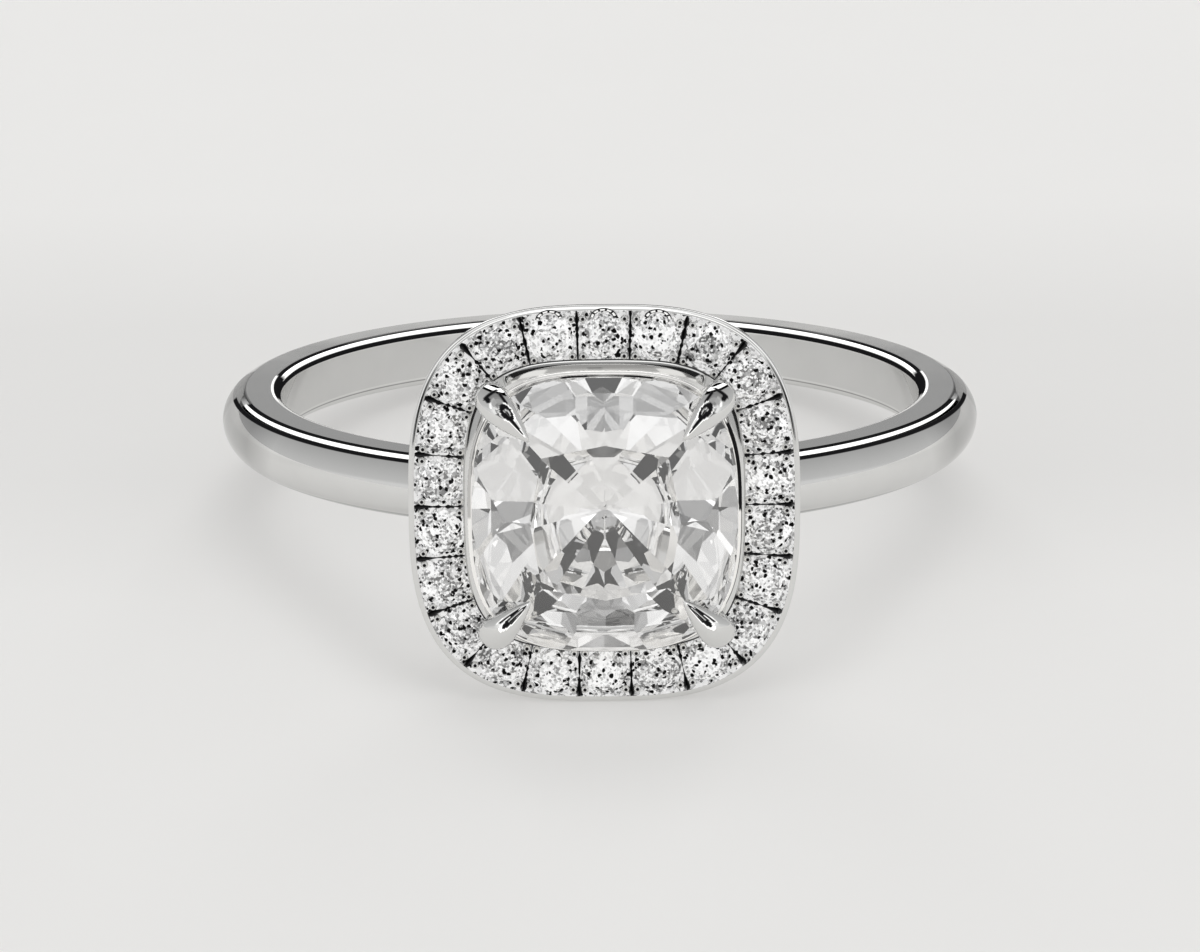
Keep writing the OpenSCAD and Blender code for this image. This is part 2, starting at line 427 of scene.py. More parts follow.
def band_section():
    """The band's outline from the middle of its outside to the inner edge and back below.

    Each point has its part of the outline and how many degrees it leans from the flat side.
    """
    half = BAND_W / 2
    outer = FINGER_R + BAND_T - FACET_LOSS
    end = degrees(asin((half - OUTER_EDGE_R) / (DOME_R - OUTER_EDGE_R)))
    dome_at = outer - DOME_R
    edge_x = dome_at + (DOME_R - OUTER_EDGE_R) * cos(radians(end))
    edge_y, in_y = half - OUTER_EDGE_R, half - INNER_EDGE_R
    in_x = FINGER_R + INNER_EDGE_R
    rounds = (
        ("outer", dome_at, 0, arc(dome_at, 0, DOME_R, 0, end, DOME_STEPS)[1:-1]),
        ("outer", edge_x, edge_y, arc(edge_x, edge_y, OUTER_EDGE_R, end, 90, OUTER_EDGE_STEPS)),
        ("flat", 0, 0, [(edge_x - SUPPORT, half), (in_x + SUPPORT, half)]),
        ("inner", in_x, in_y, arc(in_x, in_y, INNER_EDGE_R, 90, 180, INNER_EDGE_STEPS)),
        ("inside", 0, 0, [(FINGER_R, in_y - SUPPORT), (FINGER_R, INSIDE_HALF)]),
    )
    upper = [
        (x, y, part, degrees(atan2(abs(x - cx), y - cy)))
        for part, cx, cy, points in rounds for x, y in points
    ]
    lower = [(x, -y, part + "_below", away) for x, y, part, away in reversed(upper)]
    return upper + lower + [(outer, 0, "outer_below", 90)]


def outside_tone(turn, tones):
    depth = sum(tone * fade(turn, *turns) for turns, tone in tones)
    return depth * (1 - fade(turn, *BEHIND))


def band_tone(part, away, turn):
    """Painted darkness and brightness of a point of the band: painted reflections and painted
    shade.
    """
    if part == "outer":
        plain = outside_tone(turn, OUTSIDE)
        behind = 1 - fade(turn, *BEHIND) if away > EDGE_AWAY_BEHIND else 1
        edge = EDGE_TONE * fade(turn, *EDGE_FROM) * behind
        line_start, line_end = OUTER_DARK[1]
        if away < line_end:
            edge = max(edge, END_TONE * fade(turn, *END_FROM) * (1 - fade(turn, *END_TO)))
            plain *= away > line_start
        lines = any(within(away, line) for line in OUTER_DARK) and 1 - fade(turn, *LINES_TO)
        hook = within(away, HOOK) * (1 - fade(turn, *HOOK_TO))
        return max(plain, edge if away < EDGE_AWAY else 0, lines, hook), 0.0
    if part == "outer_below":
        if away < LOW_EDGE_AWAY:
            return LOW_EDGE_TONE * (1 - fade(turn, *BEHIND)), 0.0
        under = UNDER_TONE * fade(90 - away, 0, UNDER_AWAY)
        return max(outside_tone(turn, OUTSIDE_BELOW), under), 0.0
    if part == "inner" and turn > FAR_TURN:
        far = fade(turn, *FAR_FROM)
        if within(away, INNER_DARK[0]):
            return 1 - LINE_LOSS * fade(turn, *LINE_LOSS_FROM), 0.0
        if within(away, INNER_DARK[1]):
            return 1.0, 0.0
        return (1 - far, far) if within(away, INNER_BRIGHT) else (0.0, 0.0)
    if part == "inner":
        near = fade(turn, *NEAR_FROM)
        return near * within(away, NEAR_DARK), near * within(away, NEAR_BRIGHT)
    if part == "flat":
        return FLAT_TONE * fade(turn, *FLAT_FROM), 0.0
    if part == "inner_below":
        return LOW_EDGE_TONE * within(away, LOW_INNER_DARK), 0.0
    return INSIDE_TONE, 0.0


def band():
    section = band_section()
    verts, shade, painted_highlight = [], [], []
    count = len(section)
    for i in range(BAND_STEPS + 1):
        share = i / BAND_STEPS
        for r, y, part, away in section:
            middle = END_X + END_SPREAD * (r - FINGER_R) / BAND_T
            gap = asin(middle / r)
            q = pi / 2 + gap + share * (2 * pi - 2 * gap)
            verts.append((r * cos(q), y, r * sin(q)))
            turn = abs(degrees(atan2(cos(q), sin(q))))
            dark, bright = band_tone(part, away, turn)
            shade.append(dark)
            painted_highlight.append(bright)
    faces = grid(BAND_STEPS + 1, count)
    faces.append(tuple(range(count)))
    faces.append(tuple(BAND_STEPS * count + j for j in reversed(range(count))))
    return make("band", verts, faces, gold, 40, shade, painted_highlight=painted_highlight)


# Collet

COLLET_STEPS = 288
# Radius of the rim's rounding
COLLET_SOFT = 0.09
# Rows up the outside: height, distance inwards, part
COLLET_OUTSIDE = (
    (COLLET_LOW, 0.04, ""), (COLLET_LOW + 0.04, 0, ""), (COLLET_LOW + 0.1, 0, ""),
    (FACE_Z + 0.05, 0, ""), (FACE_Z + 0.1, 0, "foot"), (FACE_Z + 0.15, 0, ""),
    (COLLET_HIGH - 0.24, 0, ""), (COLLET_HIGH - 0.2, 0, "wall"), (COLLET_HIGH - 0.16, 0, ""),
)
# Parts of the rim's outer rounding, from the wall up
BENDS_UP = ("", "", "", "corner", "corner", "edge", "edge", "edge", "edge")
COLLET_TOP = (
    (COLLET_HIGH, COLLET_SOFT + 0.01, "rim"), (COLLET_HIGH, COLLET_SOFT + 0.02, "lip"),
    (COLLET_HIGH, COLLET_SOFT + 0.05, "lip"),
)
COLLET_INSIDE = (
    (COLLET_HIGH - COLLET_SOFT - 0.05, COLLET_T, ""), (COLLET_LOW + 0.1, COLLET_T, ""),
    (COLLET_LOW + 0.04, COLLET_T, ""), (COLLET_LOW, COLLET_T - 0.04, ""),
)
# Painted reflections as dark dashes and lines along the collet: degrees from the top, half length,
# part, darkness
DASHES = (
    (-23, 3.2, "wall", 1.0), (15, 2.2, "wall", 1.0), (-4, 3.0, "foot", 1.0),
    (0, 34, "lip", 0.6), (-12, 5, "lip", 1.0), (14, 6, "lip", 1.0),
    (71, 18, "edge", 1.0), (71, 16, "rim", 1.0), (90, 38, "corner", 1.0),
    (-72, 20, "edge", 0.42), (-72, 20, "corner", 0.42), (-71, 2, "rim", 1.0),
    (-65, 2, "rim", 1.0), (180, 48, "corner", 0.8),
)


def collet():
    def bend(inset, start, parts):
        """Rows of a quarter round of the rim, whose middle is inset from the wall's outside."""
        return [
            (COLLET_HIGH - COLLET_SOFT + y, inset - x, part)
            for (x, y), part in zip(arc(0, 0, COLLET_SOFT, start, start + 90, 8), parts)
        ]

    rows = [*COLLET_OUTSIDE, *bend(COLLET_SOFT, 0, BENDS_UP), *COLLET_TOP,
            *bend(COLLET_T - COLLET_SOFT, 90, [""] * 9), *COLLET_INSIDE]
    verts, shade = [], []
    for i in range(COLLET_STEPS):
        q = 2 * pi * i / COLLET_STEPS
        for z, inset, part in rows:
            full = FOOT_RATIO + (1 - FOOT_RATIO) * (z - COLLET_LOW) / (COLLET_HIGH - COLLET_LOW)
            at = cushion(COLLET_A * full - inset, COLLET_B * full - inset, q)
            turn = degrees(atan2(at.x, at.y))
            dark = [
                depth for middle, half, where, depth in DASHES
                if part == where and abs((turn - middle + 180) % 360 - 180) < half
            ]
            verts.append((at.x, at.y, z))
            shade.append(max(dark, default=0.0))
    faces = grid(COLLET_STEPS, len(rows), closed=True)
    return make("collet", verts, faces, lit_gold, 40, shade)


# Halo

# Steps in which the line of small stones is measured
LINE_STEPS = 2880


def offset_point(q, t):
    """Point at angle q, t outwards from the line of small stones."""
    return cushion(HALO_A, HALO_B, q) + (t - RIM_TO_CENTRE) * cushion_normal(HALO_A, HALO_B, q)


def line_lengths():
    """Running length of the line of small stones against its angle, clockwise from the top."""
    table = [(0.0, pi / 2)]
    last = offset_point(pi / 2, 0)
    total = 0.0
    for i in range(1, LINE_STEPS + 1):
        q = pi / 2 - 2 * pi * i / LINE_STEPS
        p = offset_point(q, 0)
        total += (p - last).length
        table.append((total, q))
        last = p
    return table


LINE = line_lengths()
PITCH = LINE[-1][0] / SMALL_N


def line_angle(s):
    """Angle of the point that lies s along the line."""
    whole = LINE[-1][0]
    turns, s = divmod(s, whole)
    lo, hi = 0, len(LINE) - 1
    while hi - lo > 1:
        mid = (lo + hi) // 2
        if LINE[mid][0] <= s:
            lo = mid
        else:
            hi = mid
    (s0, q0), (s1, q1) = LINE[lo], LINE[hi]
    return q0 + (q1 - q0) * (s - s0) / (s1 - s0) - turns * 2 * pi


# Distances outwards from that line: the cells' inner and outer ends, the collet's wall, the
# middle of the raised lips and the back's inner edge
T_IN = -0.56
T_OUT = 0.60
T_WALL = -0.86
LIP_AT = 0.44
T_BACK = -0.95
SEAT_R = SMALL_R - 0.03
HOLE_R = 0.18
HOLE_DEEP = 0.2
SIDE_N = 16
# Rows round a stone: share of the way out, height over the face, painted shade
ROUND_STEPS = ((0.0, -0.028, 0.3), (0.06, -0.008, 0.0), (0.15, 0.0, 0.0), (0.5, 0.0, 0.0),
               (0.93, 0.0, 0.0), (1.0, -0.012, 0.95))
# Painted shade of a cell's inner and outer ends, where its sides are painted dark
CELL_END_TONE = 0.1
# Slits between the cells: half widths, depth, and how much wider the draws make them
SLIT = 0.009
TOP_SLIT = 0.022
SLIT_DEEP = 0.22
SLIT_WEDGE = 0.055
SLIT_GAIN = 1.3
TOP_SLIT_GAIN = 1.2
TOP_SLITS = (SMALL_N - 2, SMALL_N - 1, 0, 1)
# Shares of the way outwards between which the draws come in at the top and fade elsewhere, and
# the wedge opens and partly closes
TOP_DRAWS_FROM = (0.1, 0.2)
DRAWS_TO = (0.6, 0.7)
WEDGE_FROM = (0.62, 0.94)
WEDGE_TO = (0.96, 1.0)
WEDGE_LOSS = 0.6
SLIT_DRAW = random.Random(7)
SLIT_SIZES = [
    [SLIT_DRAW.choice((-0.004, 0.0, 0.004, 0.012, 0.022, 0.032)) for _ in range(SIDE_N + 1)]
    for _ in range(SMALL_N)
]
# The rim keeps this far inside the CAD's. Rows down its bevel and side: distance outwards, height
RIM_AT = RIM_TO_CENTRE - 0.011
BEVEL = 0.1
RIM_ROWS = (
    (T_OUT + 0.004, 0.0), (RIM_AT - 0.55 * BEVEL, 0.0), (RIM_AT - 0.2 * BEVEL, -0.2 * BEVEL),
    (RIM_AT, -0.6 * BEVEL), (RIM_AT, -BEVEL), (RIM_AT - 0.02, -0.2),
    (RIM_TO_CENTRE - TAPER * 0.93, BACK_Z - FACE_Z + 0.06),
    (RIM_TO_CENTRE - TAPER - 0.04, BACK_Z - FACE_Z),
)
# Painted highlight on the face's edge at the top, between two heights up the halo
RIM_PAINTED_HIGHLIGHT = 0.5
RIM_PAINTED_HIGHLIGHT_FROM = (0.5, 0.8)
# Rows of the groove between the cells and the collet: distance outwards, height, painted darkness
GUTTER = ((T_IN - 0.004, -0.02, 1.0), (T_IN - 0.028, -0.02, 1.0), (T_IN - 0.034, -0.01, 0.0),
          (T_IN - 0.08, 0.0, 0.0), (T_WALL, 0.0, 0.0))
# Its painted dark line is paler beside the stone, between these degrees from the top
GUTTER_PALE = (45, 125)
GUTTER_TONES = (0.9, 0.3)


def slit_half(k, j):
    """Half the width of the slit after stone k, j of SIDE_N steps outwards."""
    share = j / SIDE_N
    wide = SLIT_SIZES[k % SMALL_N][j]
    if k % SMALL_N in TOP_SLITS:
        return TOP_SLIT + TOP_SLIT_GAIN * wide * fade(share, *TOP_DRAWS_FROM)
    wedge = SLIT_WEDGE * fade(share, *WEDGE_FROM) * (1 - WEDGE_LOSS * fade(share, *WEDGE_TO))
    return SLIT + wedge + SLIT_GAIN * wide * (1 - fade(share, *DRAWS_TO))


def across_cells(j):
    """Distance outwards of step j of SIDE_N through the cells."""
    return T_IN + (T_OUT - T_IN) * j / SIDE_N


def cell_side(k, j, side):
    """Point j of 0..SIDE_N on the left (-1) or right (1) side of stone k's cell."""
    half = slit_half(k if side > 0 else k - 1, j)
    return offset_point(line_angle((k + side / 2) * PITCH - side * half), across_cells(j))


def cell_end(k, i, j):
    """Angle of point i of 0..SIDE_N along the inner (j 0) or outer (j SIDE_N) end of a cell."""
    s0 = (k - 0.5) * PITCH + slit_half(k - 1, j)
    s1 = (k + 0.5) * PITCH - slit_half(k, j)
    return line_angle(s0 + (s1 - s0) * i / SIDE_N)


def round_angles(j):
    """Angles all the way round of the cells' inner or outer ends, with the slits' middles."""
    angles = []
    for k in range(SMALL_N):
        angles += [cell_end(k, i, j) for i in range(SIDE_N + 1)]
        angles.append(line_angle((k + 0.5) * PITCH))
    return angles


def back_cell(k, add, faces):
    """The plate's back round stone k, with the seat that runs through it."""
    centre = offset_point(line_angle(k * PITCH), 0)
    left, right = line_angle((k - 0.5) * PITCH), line_angle((k + 0.5) * PITCH)
    back_edge = RIM_ROWS[-1][0]
    across = [T_BACK + (back_edge - T_BACK) * j / SIDE_N for j in range(SIDE_N + 1)]
    border = [offset_point(left, t) for t in across]
    border += [offset_point(cell_end(k, i, SIDE_N), back_edge) for i in range(SIDE_N + 1)]
    border += [offset_point(right, t) for t in reversed(across)]
    border += [offset_point(cell_end(k, i, 0), T_BACK) for i in range(SIDE_N, -1, -1)]
    rows = []
    # The seat's hole is painted darker, as painted shade
    for r, z, dark in ((0, BACK_Z, 0.0), (HOLE_R + 0.02, BACK_Z, 0.0),
                       (HOLE_R, BACK_Z + 0.02, 0.2), (HOLE_R, BACK_Z + HOLE_DEEP, 0.5),
                       (SEAT_R, FACE_Z - 0.028, 0.3)):
        rows.append([add(centre + (p - centre).normalized() * r if r else p, z, dark)
                     for p in border])
    for low, high in zip(rows, rows[1:]):
        join(faces, low, high)


def halo():
    verts, faces, shade, grain, painted_highlight = [], [], [], [], []

    # dark is painted shade, rough also brings the setting's painted glints and glow, bright a
    # painted highlight
    def add(p, z, dark=0.0, rough=0.0, bright=0.0):
        verts.append((p.x, p.y, z))
        shade.append(dark)
        grain.append(rough)
        painted_highlight.append(bright)
        return len(verts) - 1

    sides, outer_ends, inner_ends = [], [], []
    for k in range(SMALL_N):
        centre = offset_point(line_angle(k * PITCH), 0)
        border = [cell_side(k, j, -1) for j in range(SIDE_N)]
        border += [offset_point(cell_end(k, i, SIDE_N), T_OUT) for i in range(SIDE_N)]
        border += [cell_side(k, j, 1) for j in range(SIDE_N, 0, -1)]
        border += [offset_point(cell_end(k, i, 0), T_IN) for i in range(SIDE_N, 0, -1)]
        rings = []
        for share, height, dark in ROUND_STEPS:
            ring = []
            for at, p in enumerate(border):
                d = p - centre
                start = centre + d.normalized() * SEAT_R
                tone = dark if share < 1 or at // SIDE_N % 2 == 0 else CELL_END_TONE
                ring.append(add(start + (p - start) * share, FACE_Z + height, tone, 1.0))
            rings.append(ring)
        for low, high in zip(rings, rings[1:]):
            join(faces, low, high)
        last = rings[-1]
        right = [last[3 * SIDE_N - j] for j in range(SIDE_N + 1)]
        sides.append((last[:SIDE_N + 1], right))
        outer_ends.append(last[SIDE_N:2 * SIDE_N + 1])
        inner_ends.append([last[(4 * SIDE_N - i) % len(last)] for i in range(SIDE_N + 1)])
    for k in range(SMALL_N):
        right = sides[k][1]
        left = sides[(k + 1) % SMALL_N][0]
        q = line_angle((k + 0.5) * PITCH)
        # The slits' floors are painted black, as painted shade
        deep = [add(offset_point(q, across_cells(j)), FACE_Z - SLIT_DEEP, 1.0)
                for j in range(SIDE_N + 1)]
        for j in range(SIDE_N):
            faces.append((right[j], right[j + 1], deep[j + 1], deep[j]))
            faces.append((deep[j], deep[j + 1], left[j + 1], left[j]))
        # The slit's ends meet the rim and the groove
        outer_ends[k].append(deep[-1])
        inner_ends[k].append(deep[0])
    previous = sum(outer_ends, [])
    for t, height in RIM_ROWS:
        # Painted highlight along the face's edge at the top
        lit = RIM_PAINTED_HIGHLIGHT if height == 0 else 0.0
        ring = [add(offset_point(q, t), FACE_Z + height, 0, 0,
                    lit * fade(sin(q), *RIM_PAINTED_HIGHLIGHT_FROM)) for q in round_angles(SIDE_N)]
        join(faces, previous, ring)
        previous = ring
    for k in range(SMALL_N):
        back_cell(k, add, faces)
    previous = sum(inner_ends, [])
    for t, height, line in GUTTER:
        ring = []
        for q in round_angles(0):
            p = offset_point(q, t)
            turn = abs(degrees(atan2(p.x, p.y)))
            ring.append(add(p, FACE_Z + height, line * GUTTER_TONES[within(turn, GUTTER_PALE)]))
        join(faces, ring, previous)
        previous = ring
    return make("halo", verts, faces, gold, 35, shade, grain, painted_highlight)


# Beads: places outwards, distance from the slit's middle, radius, sinking of the rows, points
# round, rows, and how many rows at the top are painted dark, as a painted reflection
BEAD_PLACES = (-0.47, 0.42)
BEAD_ASIDE = 0.135
BEAD_R = 0.1
BEAD_SUNK = 0.004
BEAD_WAYS = 20
BEAD_ROWS = 9
PAINTED_DARK_TOP_ROWS = 2


def beads():
    """Four small beads round each stone, beside the slits, each with a painted dark reflection on
    top.
    """
    verts, faces, shade = [], [], []
    for k in range(SMALL_N):
        for side in (-1, 1):
            for t in BEAD_PLACES:
                s = (k + side / 2) * PITCH - side * BEAD_ASIDE
                centre = offset_point(line_angle(s), t)
                base = len(verts)
                verts.append((centre.x, centre.y, FACE_Z + BEAD_R))
                shade.append(1.0)
                for i in range(1, BEAD_ROWS + 1):
                    p = pi / 2 * i / BEAD_ROWS
                    for j in range(BEAD_WAYS):
                        q = 2 * pi * j / BEAD_WAYS
                        verts.append((centre.x + BEAD_R * sin(p) * cos(q),
                                      centre.y + BEAD_R * sin(p) * sin(q),
                                      FACE_Z + BEAD_R * cos(p) - BEAD_SUNK))
                        shade.append(1.0 if i <= PAINTED_DARK_TOP_ROWS else 0.0)
                for j in range(BEAD_WAYS):
                    faces.append((base, base + 1 + j, base + 1 + (j + 1) % BEAD_WAYS))
                faces += grid(BEAD_ROWS, BEAD_WAYS, base + 1)
    return make("beads", verts, faces, gold, 60, shade)


# Lips: radius along the halo, its share outwards, the tube's radius, height, degrees to each side,
# and the painted highlight on the tube's top
LIP_R = 0.27
LIP_FLAT = 0.72
LIP_TUBE = 0.05
LIP_HIGH = 0.02
LIP_REACH = 85
LIP_PAINTED_HIGHLIGHT = 0.6
LIP_STEPS = 64
LIP_WAYS = 16
# Share of the tube's width past which its sides are painted dark as reflections, and how many of
# how many steps are
LIP_SIDE = 0.6
LIP_BREAKS = (4, 13)


def lips():
    """Small raised arches at the outer side of the three top stones."""
    verts, faces, shade, painted_highlight = [], [], [], []
    for k in (-1, 0, 1):
        q = line_angle(k * PITCH)
        centre = offset_point(q, LIP_AT)
        n = cushion_normal(HALO_A, HALO_B, q)
        side = Vector((-n.y, n.x))
        base = len(verts)
        for i in range(LIP_STEPS + 1):
            away = radians(-LIP_REACH + 2 * LIP_REACH * i / LIP_STEPS)
            out = n * cos(away) * LIP_FLAT + side * sin(away)
            for j in range(LIP_WAYS):
                p = 2 * pi * j / LIP_WAYS
                at = centre + out * (LIP_R + LIP_TUBE * cos(p))
                verts.append((at.x, at.y, FACE_Z + LIP_HIGH + LIP_TUBE * sin(p)))
                # Painted dark reflections along both sides, and across in a few places; a painted
                # highlight on top
                few, of = LIP_BREAKS
                edge = abs(cos(p)) > LIP_SIDE or (i + few * k) % of < few
                shade.append(1.0 if edge else 0.0)
                painted_highlight.append(0.0 if edge else LIP_PAINTED_HIGHLIGHT)
        faces += grid(LIP_STEPS + 1, LIP_WAYS, base)
        faces.append(tuple(base + j for j in range(LIP_WAYS)))
        faces.append(tuple(base + LIP_STEPS * LIP_WAYS + j for j in range(LIP_WAYS)))
    return make("lips", verts, faces, gold, 60, shade, painted_highlight=painted_highlight)


# Claws

CLAW_LINE = (
    # distance from the middle, height, half width, half height
    (2.90, 8.62, 0.17, 0.17),
    (3.20, 9.30, 0.20, 0.20),
    (3.55, 10.10, 0.25, 0.25),
    (3.85, 10.70, 0.33, 0.30),
    (3.97, 11.00, 0.38, 0.31),
    (3.89, 11.26, 0.40, 0.29),
    (3.69, 11.43, 0.385, 0.27),
    (3.44, 11.525, 0.33, 0.23),
    (3.18, 11.57, 0.25, 0.18),
    (2.94, 11.60, 0.165, 0.13),
    (2.76, 11.615, 0.085, 0.08),
    (2.66, 11.62, 0.025, 0.025),
)


def spline(rows, share):
    """Catmull-Rom value along a table's rows, share from 0 to 1."""
    at = share * (len(rows) - 1)
    i = min(int(at), len(rows) - 2)
    f = at - i
    p = [rows[max(0, min(len(rows) - 1, i + d))] for d in (-1, 0, 1, 2)]
    return [
        0.5 * (2 * b + (c - a) * f + (2 * a - 5 * b + 4 * c - d) * f * f
               + (3 * b - a - 3 * c + d) * f ** 3)
        for a, b, c, d in zip(*p)
    ]


CLAW_STEPS = 150
CLAW_WAYS = 80
# Step along the line by which its direction is measured
CLAW_LOOK = 0.004
# The left claws stand this far nearer the middle
LEFT_SHIFT = 0.06
# Brightness of the painted highlight beside the marks
MARK_PAINTED_HIGHLIGHT = 0.9
# Painted reflections on a claw's polish, from the outer end on: middle, half length, degrees round
# the claw, half width, black line, grey field inside it, white edge outside it
UPPER_MARKS = (
    (0.472, 0.005, 108, 18, 0.9, 1.0, 0.0),
    (0.487, 0.012, 88, 5, 0.9, 1.0, 0.0),
    (0.525, 0.055, 110, 22, 0.0, 0.42, 0.0),
    (0.535, 0.028, 136, 4, 0.9, 1.0, 0.0),
    (0.632, 0.050, 112, 17, 0.36, 0.20, 0.30),
    (0.735, 0.065, 104, 5, 0.9, 1.0, 0.6),
)
LOWER_MARKS = ((0.765, 0.115, 80, 14, 0.27, 0.10, 0.28), (0.73, 0.06, 56, 3, 0.9, 1.0, 0.0))


def claw_mark(share, q, marks):
    """Painted darkness and highlight of a point of a claw, by the painted reflections round it."""
    dark = bright = 0.0
    for at, length, turn, width, line, field, edge in marks:
        away = hypot((share - at) / length, (q - turn) / width)
        if abs(away - 1) < line:
            dark = 1.0
        elif away < 1:
            dark = max(dark, field)
        elif away < 1 + line + edge:
            bright = MARK_PAINTED_HIGHLIGHT
    return dark, (0.0 if dark else bright)


def claw(number, sx, sy):
    """A claw up one corner of the collet, sx and sy being the signs of its x and y."""
    corner = cushion(STONE_A, STONE_B, pi / 4, STONE_POWER)
    out = Vector((sx * corner.x, sy * corner.y, 0)).normalized()
    aside = Vector((LEFT_SHIFT if sx < 0 else 0, 0, 0))
    across = Vector((-out.y, out.x, 0))
    marks = UPPER_MARKS if sy > 0 else LOWER_MARKS
    verts, shade, painted_highlight = [], [], []
    for i in range(CLAW_STEPS + 1):
        share = i / CLAW_STEPS
        d, z, w, h = spline(CLAW_LINE, share)
        d0, z0 = spline(CLAW_LINE, max(0, share - CLAW_LOOK))[:2]
        d1, z1 = spline(CLAW_LINE, min(1, share + CLAW_LOOK))[:2]
        along = (out * (d1 - d0) + Vector((0, 0, z1 - z0))).normalized()
        up = across.cross(along)
        if up.z < 0:
            up = -up
        centre = out * d + Vector((0, 0, z)) + aside
        for j in range(CLAW_WAYS):
            q = 2 * pi * j / CLAW_WAYS
            verts.append(centre + across * (w * cos(q)) + up * (h * sin(q)))
            seen = degrees(q) if sx * sy < 0 else 180 - degrees(q)
            dark, bright = claw_mark(share, seen, marks)
            shade.append(dark)
            painted_highlight.append(bright)
    faces = grid(CLAW_STEPS + 1, CLAW_WAYS)
    faces.append(tuple(range(CLAW_WAYS)))
    faces.append(tuple(CLAW_STEPS * CLAW_WAYS + j for j in range(CLAW_WAYS)))
    piece = make(f"claw_{number}", verts, faces, gold, 60, shade, painted_highlight=painted_highlight)
    # Its dark mirror image would show through the stone
    piece.visible_transmission = False


# Stones

BLOCK = 20
# Most that the facets' painted glint levels differ from the middle one
TONE_SPREAD = 0.3


def facet_solid(name, planes, material, place, sparkle_seed=None):
    """A convex stone cut by planes, each (normal, distance), out of a block."""
    bm = bmesh.new()
    bmesh.ops.create_cube(bm, size=BLOCK)
    for normal, distance in planes:
        n = Vector(normal).normalized()
        cut = bmesh.ops.bisect_plane(
            bm, geom=bm.verts[:] + bm.edges[:] + bm.faces[:], dist=1e-6,
            plane_co=n * distance, plane_no=n, clear_outer=True)
        edges = [g for g in cut["geom_cut"] if isinstance(g, bmesh.types.BMEdge)]
        if edges:
            bmesh.ops.contextual_create(bm, geom=edges)
    bmesh.ops.remove_doubles(bm, verts=bm.verts, dist=1e-5)
    bmesh.ops.recalc_face_normals(bm, faces=bm.faces)
    mesh = bpy.data.meshes.new(name)
    bm.to_mesh(mesh)
    bm.free()
    mesh.transform(HEAD @ place)
    if sparkle_seed is not None:
        draw = random.Random(sparkle_seed)
        tone = mesh.attributes.new("tone", "FLOAT", "FACE")
        tone.data.foreach_set(
            "value", [draw.uniform(-TONE_SPREAD, TONE_SPREAD) for _ in mesh.polygons])
    return place_piece(name, mesh, material)


def facet(q_deg, angle_deg, r, z, sign):
    """Plane that leans angle_deg out of the flat, through a point r out at q_deg."""
    q, a = radians(q_deg), radians(angle_deg)
    n = Vector((sin(a) * cos(q), sin(a) * sin(q), sign * cos(a)))
    return tuple(n), n.dot(Vector((r * cos(q), r * sin(q), z)))


# Cut of a halo stone: crown's and pavilion's height, girdle's thickness, table's share
SMALL_CROWN = 0.17
SMALL_PAVILION = 0.47
SMALL_GIRDLE = 0.03
SMALL_TABLE = 0.57
# Radius of its girdle's facets, degrees from the mains to its stars and upper and lower halves,
# and the place of the stars' lower points
SMALL_GIRDLE_SHARE = 0.985
STAR_LEAN = 13
HALF_LEANS = (7, 1.6)
STAR_OUT = 0.07
STAR_DROP = 0.012


def small_planes():
    """Planes of a 57-facet round brilliant."""
    top = SMALL_GIRDLE / 2
    high = top + SMALL_CROWN
    crown_q = degrees(atan2(SMALL_CROWN, SMALL_R * (1 - SMALL_TABLE)))
    pavilion_q = degrees(atan2(SMALL_PAVILION, SMALL_R))
    girdle_r = SMALL_R * SMALL_GIRDLE_SHARE
    planes = [((0, 0, 1), high)]
    for i in range(8):
        planes.append(facet(45 * i, crown_q, SMALL_R, top, 1))
        planes.append(facet(45 * i, pavilion_q, SMALL_R, -top, -1))
    for i in range(8):
        planes.append(facet(45 * i + 22.5, crown_q - STAR_LEAN,
                            SMALL_R * (SMALL_TABLE + STAR_OUT), high - STAR_DROP, 1))
    for i in range(16):
        q = 22.5 * i + 11.25
        planes.append(facet(q, crown_q + HALF_LEANS[0], girdle_r, top, 1))
        planes.append(facet(q, pavilion_q + HALF_LEANS[1], girdle_r, -top, -1))
    for i in range(48):
        q = radians(7.5 * i)
        planes.append(((cos(q), sin(q), 0), girdle_r))
    return planes


# Cut of the centre stone. A search outside this script fitted its places and angles to the photo,
# together with the panels of FRONT_LIGHT. Depth of its point, half the girdle, and its crown
CULET_DEPTH = 2.469
GIRDLE_HALF = 0.03
CROWN = {"height": 0.800, "table": 0.473, "main": 33.09, "star": 27.00, "half": 37.22,
         "bezel": 37.68, "bezel_at": 0.846}
# Steps of the pavilion's four sides: distance from the middle, degrees
ACROSS_STEPS = ((0.0, 34.80), (0.348, 36.66), (2.247, 40.36))
ALONG_STEPS = ((0.0, 31.78), (0.671, 36.00), (2.544, 40.00))
# Corner facets: degrees at the inner and outer one, and the inner one's share of the way out
CORNER = (33.25, 38.00, 0.896)
# Slopes of the facets round the point, between the sides and at the corners
POINT_SLOPE = 33.46
CORNER_POINT_SLOPE = 30.94
# Facets beside the corners: degrees to each side, slope beside the long and the short sides
BESIDE = ((15.65, 37.05, 36.29), (30.00, 48.04, 47.70))
# Sixteen facets under the girdle and sixteen inside them: outer and inner slope
LOWER_SIDE = (53.83, 52.60)
LOWER_CORNER = (50.01, 50.79)
LOWER_AT = 0.580
# Degrees by which those inside lean less than their slope, and how far out the slopes' lines start
LOWER_LESS = 6
LOWER_REACH = 3.6
CORNER_REACH = 4.0


